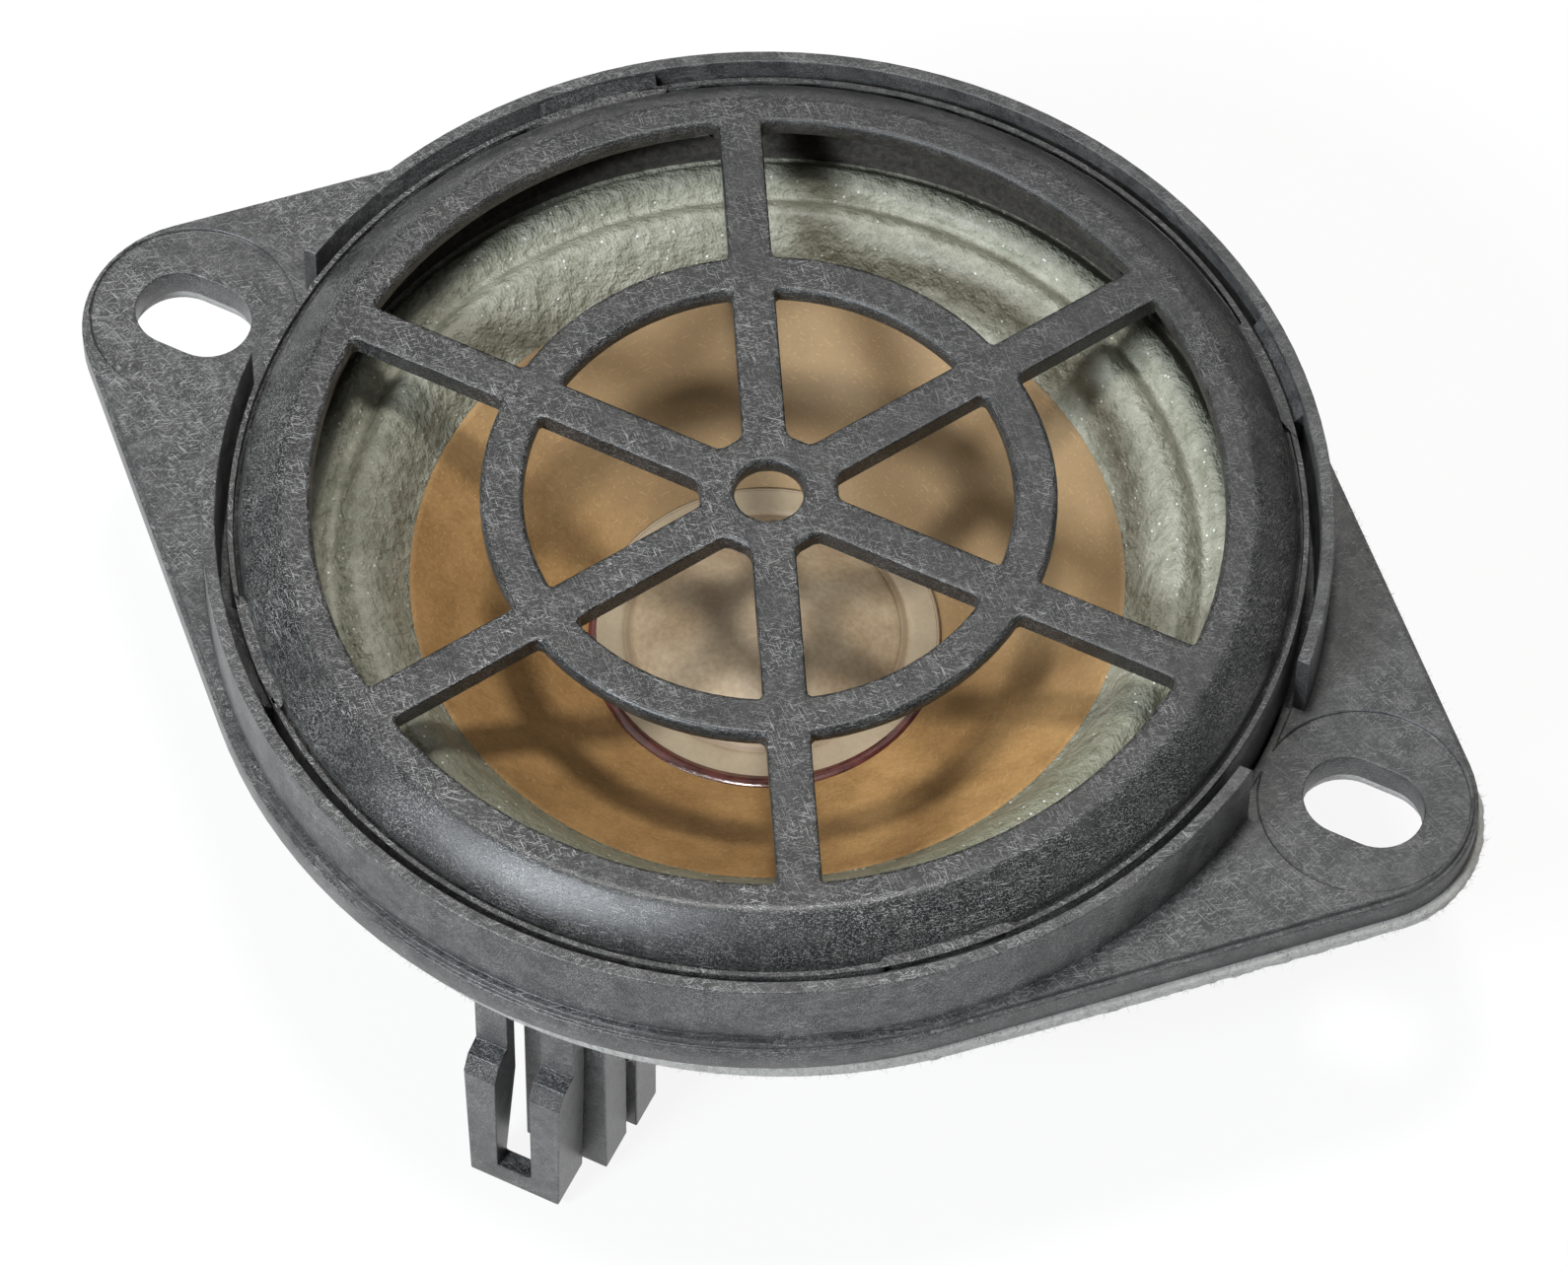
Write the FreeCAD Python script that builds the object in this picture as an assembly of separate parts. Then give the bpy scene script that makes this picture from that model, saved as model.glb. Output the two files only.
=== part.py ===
import FreeCAD, Part
import math
import os

# Car tweeter with a two-ear mounting flange, in millimetres.
# The origin is the middle of the two screw slots, on the flange's rear face.
# +X runs through both ears, +Z points out of the front, and the snap clip is on the -Y side.

# Flange and its ears
flange_t = 2.6
flange_ledge = 0.9
slot_standoff = 6.3
slot_length = 8.5
slot_width = 6.2
ear_r = 8.8
ear_inset = 1.0
edge_step_w = 0.35
edge_step_h = 0.5
pad_r = 7.3
pad_depth = 0.25

# Collar that stands round the grille
collar_r = 39.1
collar_t = 0.95
collar_h = 5.9
ear_notch_w = 9.4
groove_w = 0.75
seat_depth = 1.6
land_clear = 0.15

# Grille
grille_rise = 7.7
skirt_t = 1.3
lip_w = 0.5
lip_groove_w = 0.35
lip_groove_depth = 0.8
chamfer_w = 2.85
chamfer_h = 2.3
lip_drop = 0.3
rim_flat_w = 2.2
rim_t = 1.7
spoke_count = 6
spoke_w = 3.0
spoke_t = 1.55
mid_ring_r = 18.4
mid_ring_w = 3.0
hub_flats = 9.6
hub_hole_d = 4.8

# Snap hooks inside the collar and the notches of the grille's skirt that they hold down
hook_count = 4
hook_span_deg = 13.0
hook_t = 1.6
hook_lead_in = 1.4
hook_below_top = 0.3
hook_clear = 0.15
notch_depth = 0.45

# Felt gasket behind the flange
gasket_t = 1.2
gasket_overhang = 0.5
gasket_clear = 0.4

# Surround, its landing and the ring that holds it
landing_rise = 1.0
landing_w = 2.3
landing_clear = 0.2
surround_t = 0.35
surround_edge_clear = 0.1
clamp_t = 1.0
clamp_w = 1.7
valley_w = 0.8
valley_dip = 0.2
outer_roll_w = 2.7
outer_roll_h = 1.2
inner_roll_w = 4.2
inner_roll_h = 1.55

# Cone and dust cap
cone_t = 0.4
cone_lap_w = 0.9
cone_lap_inset = 0.2
cone_depth = 9.3
cone_edge_drop = 2.0
cap_lap_w = 2.15
cap_brim_w = 2.2
cap_dome_h = 2.6
cap_t = 0.25
glue_line = 0.05
bead_w = 1.1
bead_h = 0.3

# Voice coil
former_clear = 0.3
former_t = 0.15
former_top_drop = 0.6
former_tail = 0.4
band_t = 0.15
band_gap = 0.3
winding_t = 0.45
winding_h = 4.6

# Spider
spider_gap = 3.2
spider_t = 0.35
spider_clear = 0.3
spider_neck_w = 1.2
spider_rolls = 4
spider_roll_w = 2.5
spider_roll_h = 0.55
spider_edge_w = 2.6
spider_edge_clear = 0.15
spider_ring_t = 0.8
spider_room = 2.5

# Magnet system
pole_r = 9.45
pole_t = 3.0
magnet_inset = 0.45
magnet_t = 4.0
coil_clear = 0.5
cup_wall_t = 2.65
cup_floor_t = 2.3
cup_clear = 0.05
seat_lip_w = 1.0
seat_lip_t = 1.2

# Rear of the basket
spigot_inset = 2.1
spigot_h = 2.4
wall_t = 1.6
spigot_wall_depth = 5.6
floor_t = 1.8
sleeve_t = 1.8
sleeve_h = 4.3
floor_edge_bevel = 2.0
vent_count = 10
vent_w = 8.5
vent_margin = 1.6

# Snap clip: two bars joined at the bottom
clip_standoff = 0.5
clip_neck_t = 1.1
clip_nose_reach = 2.0
clip_tip_t = 1.5
clip_half_top = 3.75
clip_half_bottom = 3.45
clip_slot_w = 2.6
clip_length = 24.5
clip_ledge_z = -9.6
clip_ledge_fall = 0.3
clip_nose_w = 0.7
clip_nose_fall = 1.5
clip_thin_z = -14.0
clip_bridge_h = 1.95

# Connector shroud beside the clip, its socket and the terminals
shroud_x0 = -1.2
shroud_x1 = 5.1
shroud_gap = 1.1
shroud_depth = 6.9
shroud_step = 0.4
shroud_step_len = 3.0
shroud_groove_w = 0.8
shroud_groove_depth = 0.5
socket_wall = 1.0
socket_depth = 10.0
terminal_pitch = 2.0
terminal_t = 0.6
terminal_w = 1.5
terminal_pin = 5.7
terminal_tip = 0.4
lug_h = 1.2
lug_above_spider = 3.3
lug_inset = 1.15
terminal_fit = 0.05

# Flexible leads between the terminals and the voice coil
lead_r = 0.35
lead_solder_w = 1.0
lead_solder_h = 1.1
lead_solder_reach = 1.1
lead_first_run = 3.0
lead_wave_y = -17.4
lead_wave_rise = 0.9
lead_last_run = 3.0
lug_solder_r = 0.75
lug_solder_l = 1.2

# Cutting tools reach past the faces that they cut by this much
past = 1.0

# Places worked out from the sizes above
flange_r = collar_r + flange_ledge
slot_x = collar_r + slot_standoff
ear_x = slot_x - ear_inset
collar_in_r = collar_r - collar_t
collar_top_z = flange_t + collar_h
skirt_r = collar_in_r - groove_w
skirt_in_r = skirt_r - skirt_t
spigot_r = collar_r - spigot_inset
seat_z = flange_t - seat_depth
grille_top_z = flange_t + grille_rise
lip_in_r = skirt_r - lip_w
chamfer_out_r = lip_in_r - lip_groove_w
chamfer_in_r = chamfer_out_r - chamfer_w
window_r = chamfer_in_r - rim_flat_w
lip_z = grille_top_z - chamfer_h - lip_drop
chamfer_z = grille_top_z - chamfer_h
hook_in_r = skirt_r - notch_depth + hook_clear
hook_low_z = collar_top_z - hook_below_top - hook_lead_in - hook_t
landing_z = seat_z + landing_rise
landing_out_r = skirt_in_r - landing_clear
landing_in_r = landing_out_r - landing_w
surround_out_r = landing_out_r - surround_edge_clear
outer_roll_r = landing_in_r - outer_roll_w
inner_roll_r = outer_roll_r - valley_w
cone_top_z = landing_z - cone_edge_drop
cone_out_r = inner_roll_r - inner_roll_w
lap_in_r = cone_out_r - cone_lap_w
cone_in_r = lap_in_r - cone_lap_inset
former_r = pole_r + former_clear
former_out_r = former_r + former_t
winding_out_r = former_out_r + winding_t
band_out_r = former_out_r + glue_line + band_t
cone_neck_r = band_out_r + glue_line
cone_neck_z = cone_top_z - cone_depth
cone_slope = cone_depth / (cone_in_r - cone_neck_r)
cap_r = cone_neck_r + cap_lap_w
cap_dome_r = cap_r - cap_brim_w
cap_z = cone_top_z - (cone_in_r - cap_r) * cone_slope + glue_line
former_top_z = cap_z - former_top_drop
spider_z = cone_neck_z - spider_gap
spider_in_r = band_out_r + spider_clear
spider_roll_in_r = spider_in_r + spider_neck_w
spider_roll_out_r = spider_roll_in_r + spider_rolls * spider_roll_w
ledge_in_r = spider_roll_out_r + spider_edge_clear
ledge_out_r = ledge_in_r + spider_edge_w
floor_z = spider_z - spider_room
cup_top_z = floor_z - seat_lip_t
pole_z = cup_top_z - pole_t
magnet_z = pole_z - magnet_t
cup_back_z = magnet_z - cup_floor_t
magnet_r = pole_r - magnet_inset
cup_in_r = winding_out_r + coil_clear
cup_r = cup_in_r + cup_wall_t
cup_hole_r = cup_r + cup_clear
winding_mid_z = cup_top_z - pole_t / 2
winding_top_z = winding_mid_z + winding_h / 2
winding_bottom_z = winding_mid_z - winding_h / 2
former_bottom_z = winding_bottom_z - former_tail
wall_top_z = flange_t - spigot_wall_depth
clip_neck_y = -spigot_r - clip_standoff
clip_rear_y = clip_neck_y + clip_neck_t
clip_front_y = clip_neck_y - clip_nose_reach
clip_thin_y = clip_front_y + clip_tip_t
clip_bottom_z = -clip_length
shroud_y0 = clip_rear_y + shroud_gap
shroud_y1 = shroud_y0 + shroud_depth
shroud_mid_x = (shroud_x0 + shroud_x1) / 2
shroud_x2 = shroud_x1 + shroud_step
shroud_step_y = shroud_y1 - shroud_step_len
socket_top_z = clip_bottom_z + socket_depth
terminal_y = (shroud_y0 + shroud_y1) / 2
lug_end_y = -ledge_out_r + lug_inset
lug_z = spider_z + lug_above_spider
lead_z = lug_z - lug_h / 2
coil_solder_z = cone_neck_z - 2 * cone_t - lead_solder_h / 2
gasket_in_r = math.hypot(clip_neck_y, clip_half_top) + gasket_clear

axis_point = FreeCAD.Vector(0, 0, 0)
axis_up = FreeCAD.Vector(0, 0, 1)


def profile_point(r, z):
    return FreeCAD.Vector(r, 0, z)


def spun(wire):
    """Turn a closed outline in the XZ plane once round the Z axis."""
    return Part.Face(wire).revolve(axis_point, axis_up, 360)


def turned(corners):
    """A round solid whose section has straight sides between the given radius and height pairs."""
    points = [profile_point(r, z) for r, z in corners]
    return spun(Part.makePolygon(points + points[:1]))


def ring(r_in, r_out, z_low, z_high):
    return turned([(r_in, z_low), (r_out, z_low), (r_out, z_high), (r_in, z_high)])


def turned_piece(corners, mid_deg, span_deg):
    """Some degrees of a turned solid, round a middle direction."""
    points = [profile_point(r, z) for r, z in corners]
    face = Part.Face(Part.makePolygon(points + points[:1]))
    piece = face.revolve(axis_point, axis_up, span_deg)
    piece.rotate(axis_point, axis_up, mid_deg - span_deg / 2)
    return piece


def block(x0, x1, y0, y1, z0, z1):
    return Part.makeBox(x1 - x0, y1 - y0, z1 - z0, FreeCAD.Vector(x0, y0, z0))


def side_prism(corners, x0, x1):
    """A solid with a straight-sided outline in Y and Z, drawn out along X."""
    points = [FreeCAD.Vector(x0, y, z) for y, z in corners]
    return Part.Face(Part.makePolygon(points + points[:1])).extrude(FreeCAD.Vector(x1 - x0, 0, 0))


def front_prism(corners, y0, y1):
    """A solid with a straight-sided outline in X and Z, drawn out along Y."""
    points = [FreeCAD.Vector(x, y0, z) for x, z in corners]
    return Part.Face(Part.makePolygon(points + points[:1])).extrude(FreeCAD.Vector(0, y1 - y0, 0))


def line_edge(a, b):
    return Part.LineSegment(a, b).toShape()


def arc_edge(a, middle, b):
    return Part.Arc(a, middle, b).toShape()


def flange_plate(grow, z_low, z_high):
    """The flange's outline, a round body with two ears joined by tangents, as a plate."""
    big = flange_r + grow
    small = ear_r + grow
    lean = math.acos((flange_r - ear_r) / ear_x)
    c, s = math.cos(lean), math.sin(lean)

    def corner(side_x, side_y, on_ear):
        if on_ear:
            return FreeCAD.Vector(side_x * (ear_x + small * c), side_y * small * s, z_low)
        return FreeCAD.Vector(side_x * big * c, side_y * big * s, z_low)

    edges = []
    for side in (1, -1):
        tip = FreeCAD.Vector(side * (ear_x + small), 0, z_low)
        crown = FreeCAD.Vector(0, -side * big, z_low)
        edges.append(line_edge(corner(side, side, False), corner(side, side, True)))
        edges.append(arc_edge(corner(side, side, True), tip, corner(side, -side, True)))
        edges.append(line_edge(corner(side, -side, True), corner(side, -side, False)))
        edges.append(arc_edge(corner(side, -side, False), crown, corner(-side, -side, False)))
    return Part.Face(Part.Wire(edges)).extrude(FreeCAD.Vector(0, 0, z_high - z_low))


def slot_cutters(grow, z_low, z_high):
    """One long hole with round ends at each ear, lying along X."""
    half_w = slot_width / 2 + grow
    straight = (slot_length - slot_width) / 2
    cutters = []
    for side in (1, -1):
        x = side * slot_x
        middle = block(x - straight, x + straight, -half_w, half_w, z_low, z_high)
        ends = [Part.makeCylinder(half_w, z_high - z_low, FreeCAD.Vector(x + e * straight, 0, z_low))
                for e in (1, -1)]
        cutters.append(middle.fuse(ends).removeSplitter())
    return cutters


def basket_shell():
    """The round part of the basket: collar, seat, landing, sloped wall, floor and magnet sleeve."""
    wall_run = math.hypot(landing_in_r - ledge_out_r, wall_top_z - (spider_z + wall_t))
    drop = wall_t * (landing_in_r - ledge_out_r) / wall_run
    out = wall_t * (wall_top_z - (spider_z + wall_t)) / wall_run
    outside_low_z = spider_z + wall_t - drop
    sleeve_r = cup_hole_r + sleeve_t
    return turned([
        (collar_r, collar_top_z), (collar_in_r, collar_top_z), (collar_in_r, seat_z),
        (landing_out_r, seat_z), (landing_out_r, landing_z), (landing_in_r, landing_z),
        (landing_in_r, wall_top_z), (ledge_out_r, spider_z + wall_t), (ledge_out_r, spider_z),
        (ledge_in_r, spider_z), (ledge_in_r, floor_z), (cup_hole_r - seat_lip_w, floor_z),
        (cup_hole_r - seat_lip_w, cup_top_z), (cup_hole_r, cup_top_z),
        (cup_hole_r, cup_top_z - sleeve_h), (sleeve_r, cup_top_z - sleeve_h),
        (sleeve_r, floor_z - floor_t), (ledge_out_r + out - floor_edge_bevel, floor_z - floor_t),
        (ledge_out_r + out, floor_z - floor_t + floor_edge_bevel), (ledge_out_r + out, outside_low_z),
        (landing_in_r + out, wall_top_z - drop), (spigot_r, -spigot_h), (spigot_r, 0),
        (collar_r, 0)])


def basket_room():
    """The space inside the basket in front of its floor, which nothing of the basket may enter."""
    return turned([
        (0, landing_z), (landing_in_r, landing_z), (landing_in_r, wall_top_z),
        (ledge_out_r, spider_z + wall_t), (ledge_out_r, spider_z), (ledge_in_r, spider_z),
        (ledge_in_r, floor_z), (0, floor_z)])


def vent_cutters():
    """Straight-sided vents through the sloped wall, with a rib left behind the clip."""
    low_z = spider_z + wall_t + vent_margin
    high_z = wall_top_z - vent_margin
    cutter = block(ledge_out_r - vent_margin, spigot_r + past, -vent_w / 2, vent_w / 2, low_z, high_z)
    cutters = []
    for i in range(vent_count):
        turned_one = cutter.copy()
        turned_one.rotate(axis_point, axis_up, -90 + 360 / vent_count * (i + 0.5))
        cutters.append(turned_one)
    return cutters


def snap_clip():
    """Two upright bars with a nose in front of a neck, joined by a bridge at the bottom."""
    side_view = [
        (clip_neck_y, 0), (clip_neck_y, clip_ledge_z),
        (clip_front_y + clip_nose_w, clip_ledge_z - clip_ledge_fall),
        (clip_front_y, clip_ledge_z - clip_ledge_fall - clip_nose_fall),
        (clip_front_y, clip_bottom_z), (clip_thin_y, clip_bottom_z),
        (clip_thin_y, clip_bottom_z + clip_bridge_h), (clip_rear_y, clip_thin_z), (clip_rear_y, 0)]
    front_view = [(-clip_half_top, 0), (clip_half_top, 0), (clip_half_top, clip_ledge_z),
                  (clip_half_bottom, clip_bottom_z), (-clip_half_bottom, clip_bottom_z),
                  (-clip_half_top, clip_ledge_z)]
    body = side_prism(side_view, -clip_half_top, clip_half_top).common(
        front_prism(front_view, clip_front_y, clip_rear_y))
    slot = block(-clip_slot_w / 2, clip_slot_w / 2, clip_front_y - past, clip_rear_y + past,
                 clip_bottom_z + clip_bridge_h, past)
    return body.cut(slot)


def shroud():
    """The socket's outer block, with its side step and groove, and the web that joins the clip."""
    main = block(shroud_x0, shroud_x1, shroud_y0, shroud_y1, clip_bottom_z, 0)
    step = block(shroud_x1 - shroud_step, shroud_x2, shroud_step_y, shroud_y1, clip_bottom_z, 0)
    groove = block(shroud_x1 - shroud_groove_depth, shroud_x1 + past,
                   shroud_step_y - shroud_groove_w, shroud_step_y, clip_bottom_z - past, past)
    web_front = front_prism([(clip_slot_w / 2, 0), (clip_half_top, 0), (clip_half_top, clip_ledge_z),
                             (clip_half_bottom, clip_bottom_z), (clip_slot_w / 2, clip_bottom_z)],
                            clip_front_y, shroud_y0 + past)
    web_side = side_prism([(clip_neck_y, 0), (clip_neck_y, clip_ledge_z - past),
                           (clip_thin_y, clip_ledge_z - past), (clip_thin_y, clip_bottom_z),
                           (shroud_y0 + past, clip_bottom_z), (shroud_y0 + past, 0)],
                          0, clip_half_top + past)
    web = web_front.common(web_side)
    recess = block(clip_half_bottom - shroud_groove_depth, clip_half_top + past,
                   shroud_y0 - past / 2, shroud_y0, clip_bottom_z - past, past)
    return main.fuse(step).cut(groove).fuse(web.cut(recess))


def terminal_outline(fit):
    """An upright pin that turns inward at its top into a solder lug, drawn in Y and Z."""
    y_out = terminal_y - terminal_w / 2 - fit
    y_in = terminal_y + terminal_w / 2 + fit
    pin_end_z = socket_top_z - terminal_pin
    return [(y_out, lug_z + fit), (lug_end_y, lug_z + fit), (lug_end_y, lug_z - lug_h - fit),
            (y_in, lug_z - lug_h - fit), (y_in, pin_end_z + terminal_tip),
            (y_in - terminal_tip, pin_end_z), (y_out + terminal_tip, pin_end_z),
            (y_out, pin_end_z + terminal_tip)]


def terminal_x(side):
    return shroud_mid_x + side * terminal_pitch / 2


def terminal_solid(side, fit=0.0):
    half = terminal_t / 2 + fit
    x = terminal_x(side)
    return side_prism(terminal_outline(fit), x - half, x + half)


def basket():
    plate = flange_plate(0, 0, flange_t - edge_step_h)
    plate = plate.fuse(flange_plate(-edge_step_w, flange_t - edge_step_h, flange_t))
    plate = plate.cut(Part.makeCylinder(collar_in_r, flange_t + 2 * past, FreeCAD.Vector(0, 0, -past)))
    shell = basket_shell().cut(vent_cutters())
    body = plate.fuse([shell, snap_clip(), shroud()]).cut(basket_room())
    cuts = slot_cutters(0, -past, flange_t + past)
    lands = []
    for side in (1, -1):
        x = side * slot_x
        cuts.append(Part.makeCylinder(pad_r, pad_depth + past, FreeCAD.Vector(x, 0, flange_t - pad_depth)))
        inner, outer = sorted((side * skirt_r, side * (collar_r + past)))
        notch = block(inner, outer, -ear_notch_w / 2, ear_notch_w / 2, flange_t, collar_top_z + past)
        cuts.append(notch)
        low, high = sorted((side * (skirt_r - land_clear), side * collar_r))
        land = block(low, high, -ear_notch_w / 2, ear_notch_w / 2, seat_z, flange_t - pad_depth)
        lands.append(land.common(ring(skirt_r + land_clear, collar_r, seat_z, flange_t)))
    socket = block(shroud_x0 + socket_wall, shroud_x1 - socket_wall, shroud_y0 + socket_wall,
                   shroud_y1 - socket_wall, clip_bottom_z - past, socket_top_z)
    cuts.append(socket)
    cuts += [terminal_solid(side, terminal_fit) for side in (1, -1)]
    return body.cut(cuts).fuse(lands + snap_hooks()).removeSplitter()


def snap_hooks():
    """Wedges inside the collar whose sloped tops let the grille's skirt click under them."""
    corners = [(collar_r - collar_t / 2, hook_low_z), (hook_in_r, hook_low_z),
               (hook_in_r, hook_low_z + hook_t), (collar_in_r, hook_low_z + hook_t + hook_lead_in),
               (collar_r - collar_t / 2, hook_low_z + hook_t + hook_lead_in)]
    return [turned_piece(corners, hook_mid_deg(i), hook_span_deg) for i in range(hook_count)]


def hook_mid_deg(i):
    return 360 / hook_count * (i + 0.5)


def grille():
    rim = turned([
        (window_r, grille_top_z), (chamfer_in_r, grille_top_z), (chamfer_out_r, chamfer_z),
        (chamfer_out_r, lip_z - lip_groove_depth), (lip_in_r, lip_z - lip_groove_depth),
        (lip_in_r, lip_z), (skirt_r, lip_z), (skirt_r, seat_z), (skirt_in_r, seat_z),
        (skirt_in_r, chamfer_z - rim_t), (chamfer_in_r, grille_top_z - rim_t),
        (window_r, grille_top_z - rim_t)])
    low = grille_top_z - spoke_t
    hub = Part.makePolygon([FreeCAD.Vector(hub_corner(i)[0], hub_corner(i)[1], low)
                            for i in range(spoke_count + 1)])
    pieces = [Part.Face(hub).extrude(FreeCAD.Vector(0, 0, spoke_t)),
              ring(mid_ring_r - mid_ring_w / 2, mid_ring_r + mid_ring_w / 2, low, grille_top_z)]
    for i in range(spoke_count):
        spoke = block(0, window_r + rim_flat_w / 2, -spoke_w / 2, spoke_w / 2, low, grille_top_z)
        spoke.rotate(axis_point, axis_up, 360 / spoke_count * i)
        pieces.append(spoke)
    cuts = [Part.makeCylinder(hub_hole_d / 2, spoke_t + 2 * past, FreeCAD.Vector(0, 0, low - past))]
    notch_r = skirt_r - notch_depth
    notch_z = hook_low_z - hook_clear
    corners = [(notch_r, notch_z), (skirt_r + past, notch_z), (skirt_r + past, lip_z + past),
               (notch_r, lip_z + past)]
    notch_span_deg = hook_span_deg + 2 * math.degrees(hook_clear / skirt_r)
    cuts += [turned_piece(corners, hook_mid_deg(i), notch_span_deg) for i in range(hook_count)]
    return rim.fuse(pieces).cut(cuts).removeSplitter()


def hub_corner(i):
    """A corner of the hub, whose flat sides face between the spokes."""
    reach = hub_flats / 2 / math.cos(math.pi / spoke_count)
    turn = 2 * math.pi / spoke_count * i
    return reach * math.cos(turn), reach * math.sin(turn)


def mounting_gasket():
    felt = flange_plate(gasket_overhang, -gasket_t, 0)
    hole = Part.makeCylinder(gasket_in_r, gasket_t + 2 * past, FreeCAD.Vector(0, 0, -gasket_t - past))
    return felt.cut([hole] + slot_cutters(gasket_clear, -gasket_t - past, past))


def clamp_ring():
    low = landing_z + surround_t
    return ring(surround_out_r - clamp_w, surround_out_r, low, low + clamp_t)


def surround():
    """Coated cloth with a narrow outer roll, a valley and a wide inner roll, lapped on the cone."""
    def skin(lift):
        outer_mid = profile_point((outer_roll_r + landing_in_r) / 2, landing_z + outer_roll_h + lift)
        valley_mid = profile_point(outer_roll_r - valley_w / 2, landing_z - valley_dip + lift)
        middle_z = (cone_top_z + landing_z) / 2
        inner_mid = profile_point((cone_out_r + inner_roll_r) / 2, middle_z + inner_roll_h + lift)
        flat_out = profile_point(surround_out_r, landing_z + lift)
        flat_in = profile_point(landing_in_r, landing_z + lift)
        valley_out = profile_point(outer_roll_r, landing_z + lift)
        valley_in = profile_point(inner_roll_r, landing_z + lift)
        lap_out = profile_point(cone_out_r, cone_top_z + lift)
        lap_in = profile_point(lap_in_r, cone_top_z + lift)
        return [flat_out, lap_in], [
            line_edge(flat_out, flat_in), arc_edge(flat_in, outer_mid, valley_out),
            arc_edge(valley_out, valley_mid, valley_in), arc_edge(valley_in, inner_mid, lap_out),
            line_edge(lap_out, lap_in)]

    low_ends, low_edges = skin(0)
    high_ends, high_edges = skin(surround_t)
    rims = [line_edge(low_ends[i], high_ends[i]) for i in (0, 1)]
    return spun(Part.Wire(Part.__sortEdges__(low_edges + high_edges + rims)))


def cone():
    return turned([
        (cone_out_r, cone_top_z), (cone_in_r, cone_top_z), (cone_neck_r, cone_neck_z),
        (cone_neck_r, cone_neck_z - cone_t), (cone_in_r, cone_top_z - cone_t),
        (cone_out_r, cone_top_z - cone_t)])


def dust_cap():
    """A shallow dome inside a flat brim that is glued to the cone."""
    def skin(lift):
        sphere_r = (cap_dome_r ** 2 + cap_dome_h ** 2) / (2 * cap_dome_h)
        half_r = cap_dome_r / 2
        half_z = cap_z + cap_dome_h - sphere_r + math.sqrt(sphere_r ** 2 - half_r ** 2)
        edge = profile_point(cap_r, cap_z + lift)
        crease = profile_point(cap_dome_r, cap_z + lift)
        top = profile_point(0, cap_z + cap_dome_h + lift)
        dome = arc_edge(crease, profile_point(half_r, half_z + lift), top)
        return edge, top, [line_edge(edge, crease), dome]

    low_edge, low_top, low = skin(0)
    high_edge, high_top, high = skin(cap_t)
    closing = [line_edge(low_edge, high_edge), line_edge(low_top, high_top)]
    return spun(Part.Wire(Part.__sortEdges__(low + high + closing)))


def cap_adhesive():
    """A bead of glue in the corner between the cap's edge and the cone."""
    in_r = cap_r + glue_line
    out_r = in_r + bead_w

    def on_cone(r):
        return cone_top_z - (cone_in_r - r) * cone_slope + glue_line

    foot = profile_point(in_r, on_cone(in_r))
    toe = profile_point(out_r, on_cone(out_r))
    crown = profile_point(in_r, cap_z + cap_t + bead_h)
    belly_r = in_r + bead_w / 2
    belly = profile_point(belly_r, max(crown.z, on_cone(belly_r) + bead_h))
    return spun(Part.Wire([line_edge(foot, toe), arc_edge(toe, belly, crown), line_edge(crown, foot)]))


def coil_former():
    return ring(former_r, former_out_r, former_bottom_z, former_top_z)


def coil_winding():
    in_r = former_out_r + glue_line
    return ring(in_r, winding_out_r, winding_bottom_z, winding_top_z)


def coil_band():
    """Paper band wrapped round the former between the winding and the cone's neck."""
    in_r = former_out_r + glue_line
    return ring(in_r, band_out_r, winding_top_z + band_gap, cone_neck_z + cone_t)


def spider():
    """Corrugated cloth disc that centres the coil, with flat inner and outer edges."""
    def skin(lift):
        inner = profile_point(spider_in_r, spider_z + lift)
        edges = [line_edge(inner, profile_point(spider_roll_in_r, spider_z + lift))]
        half = spider_roll_w / 2
        for i in range(2 * spider_rolls):
            r = spider_roll_in_r + i * half
            way = 1 if i % 2 == 0 else -1
            middle = profile_point(r + half / 2, spider_z + lift + way * spider_roll_h)
            edges.append(arc_edge(profile_point(r, spider_z + lift), middle,
                                  profile_point(r + half, spider_z + lift)))
        outer = profile_point(ledge_out_r - spider_edge_clear, spider_z + lift)
        edges.append(line_edge(profile_point(spider_roll_out_r, spider_z + lift), outer))
        return inner, outer, edges

    low_in, low_out, low = skin(0)
    high_in, high_out, high = skin(spider_t)
    closing = [line_edge(low_in, high_in), line_edge(low_out, high_out)]
    return spun(Part.Wire(Part.__sortEdges__(low + high + closing)))


def spider_ring():
    low = spider_z + spider_t
    return ring(ledge_in_r, ledge_out_r - spider_edge_clear, low, low + spider_ring_t)


def pole_plate():
    return Part.makeCylinder(pole_r, pole_t, FreeCAD.Vector(0, 0, pole_z))


def magnet():
    return Part.makeCylinder(magnet_r, magnet_t, FreeCAD.Vector(0, 0, magnet_z))


def yoke_cup():
    return turned([(0, cup_back_z), (cup_r, cup_back_z), (cup_r, cup_top_z), (cup_in_r, cup_top_z),
                   (cup_in_r, magnet_z), (0, magnet_z)])


def coil_solder_outer_y(side):
    return -math.sqrt(band_out_r ** 2 - terminal_x(side) ** 2) - lead_solder_reach


def coil_solder(side):
    """A block of solder on the coil's band, whose flat outer side takes the lead's end."""
    x = terminal_x(side)
    half_w = lead_solder_w / 2
    half_h = lead_solder_h / 2
    body = block(x - half_w, x + half_w, coil_solder_outer_y(side), 0,
                 coil_solder_z - half_h, coil_solder_z + half_h)
    keep_off = Part.makeCylinder(band_out_r + glue_line, 2 * lead_solder_h,
                                 FreeCAD.Vector(0, 0, coil_solder_z - lead_solder_h))
    return body.cut(keep_off)


def lug_solder(side):
    """A drop of solder over the terminal's end and the lead's end."""
    x = terminal_x(side)
    start = FreeCAD.Vector(x, lug_end_y - lug_solder_l / 2, lead_z)
    drop = Part.makeCylinder(lug_solder_r, lug_solder_l, start, FreeCAD.Vector(0, 1, 0))
    return drop.cut([terminal_solid(side), lead(side)])


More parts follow.
